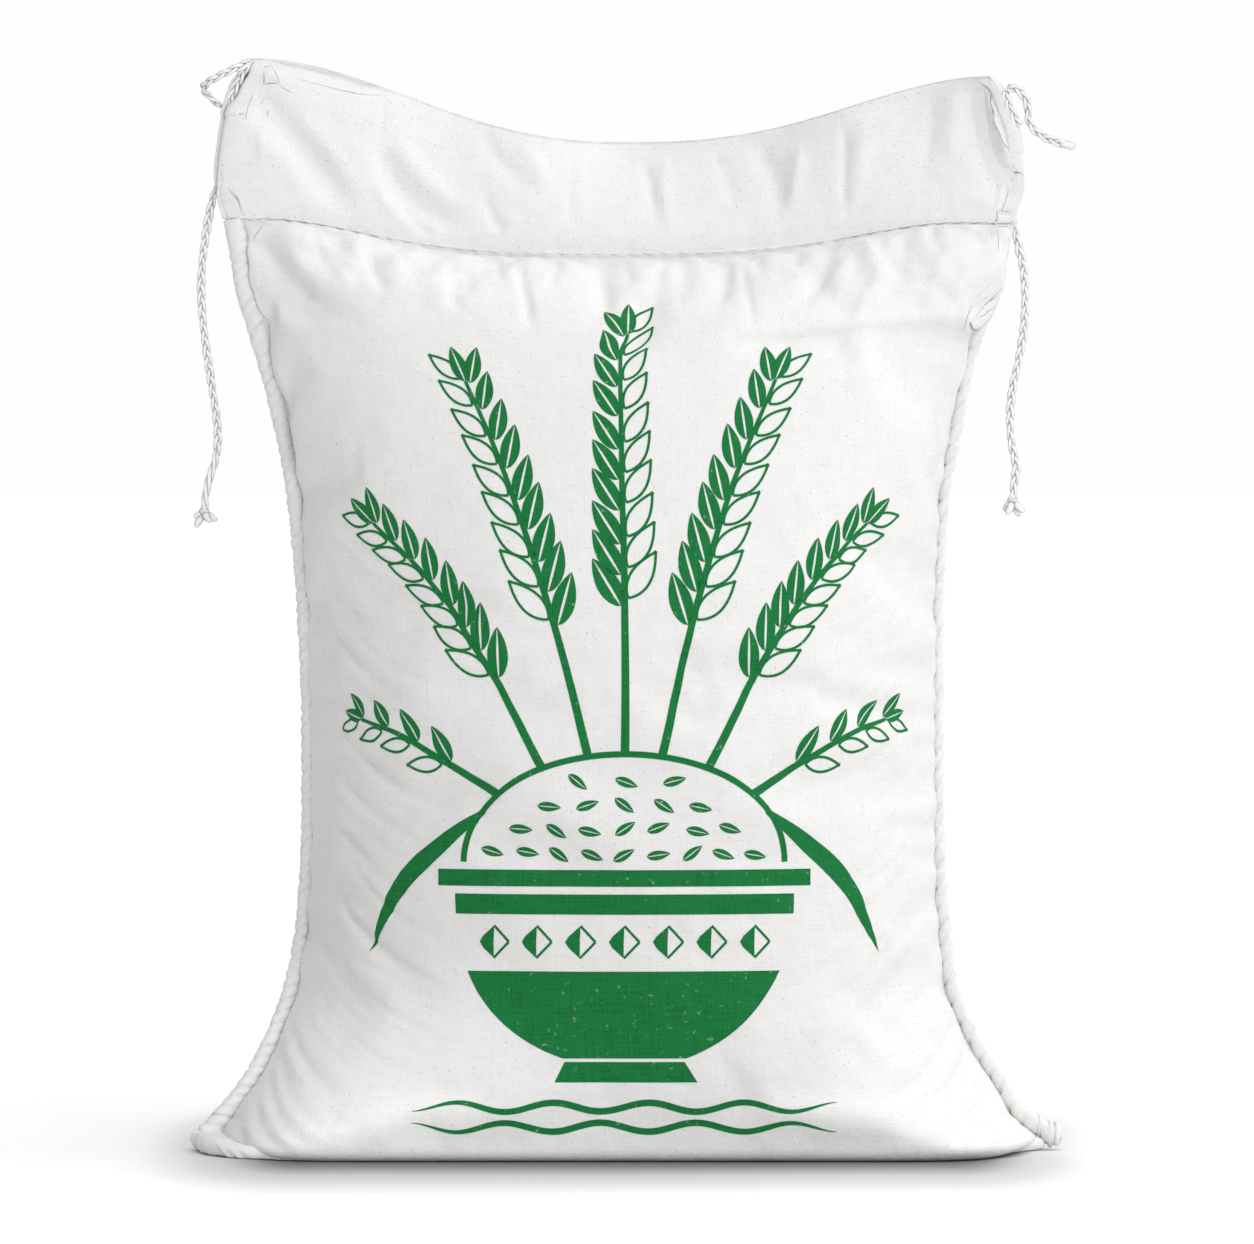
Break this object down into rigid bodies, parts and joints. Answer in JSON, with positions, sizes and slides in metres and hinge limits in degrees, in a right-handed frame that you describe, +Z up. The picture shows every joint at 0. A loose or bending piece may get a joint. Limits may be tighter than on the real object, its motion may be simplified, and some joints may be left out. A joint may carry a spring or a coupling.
{
  "type": "bag of rice",
  "caption": "White cotton drawstring bag filled with rice, standing on its base, with a flat stitched casing across the closed mouth and rolled side seams.",
  "frame": {"origin": "middle of the bag's base, on the floor", "axes": "+Z up, the printed front faces -Y, +X to the right as seen from the front"},
  "size_m": [0.3892, 0.1756, 0.4796],
  "materials": {
    "cotton": "bleached plain-weave cotton, matt",
    "seam_cotton": "the same cotton, rolled and whipped",
    "cord": "twisted white cotton cord, matt",
    "print": "green ink printed on the cotton, matt"
  },
  "bodies": {
    "root": {"sack": "cotton", "side_welt_left": "seam_cotton", "side_welt_right": "seam_cotton", "tail_left": "cord", "tail_right": "cord", "tail_knot_left": "cord", "tail_knot_right": "cord", "loop_left": "cord", "loop_right": "cord"}
  },
  "joints": []
}
